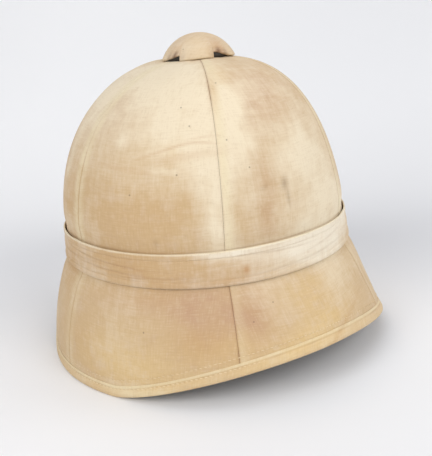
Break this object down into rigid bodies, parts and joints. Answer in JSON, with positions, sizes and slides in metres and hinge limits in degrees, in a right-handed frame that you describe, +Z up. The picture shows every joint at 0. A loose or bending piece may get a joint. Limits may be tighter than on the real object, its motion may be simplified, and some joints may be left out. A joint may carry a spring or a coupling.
{
  "type": "pith helmet",
  "caption": "Tall cloth-covered pith helmet with panelled crown, folded band, arched sloping brim with bound rim, and a domed vent cap on top.",
  "frame": {"origin": "middle of the bounding box at floor level, where the neck guard and the peak rest", "axes": "+Z up, the helmet faces -Y, so +X is the wearer's left"},
  "size_m": [0.28, 0.291, 0.2461],
  "materials": {
    "cover_canvas": "worn matt tan canvas",
    "band_canvas": "worn matt tan canvas, folded",
    "binding_canvas": "worn matt tan canvas tape",
    "cap_canvas": "worn matt tan canvas, stained",
    "pith": "matt pith lined with thin cloth",
    "zinc": "dull"
  },
  "bodies": {
    "root": {"pith_shell": "pith", "cover_panel_1": "cover_canvas", "cover_panel_2": "cover_canvas", "cover_panel_3": "cover_canvas", "cover_panel_4": "cover_canvas", "cover_panel_5": "cover_canvas", "cover_panel_6": "cover_canvas", "hat_band": "band_canvas", "rim_binding": "binding_canvas", "vent_cap": "cap_canvas", "vent_collar": "zinc"}
  },
  "joints": []
}
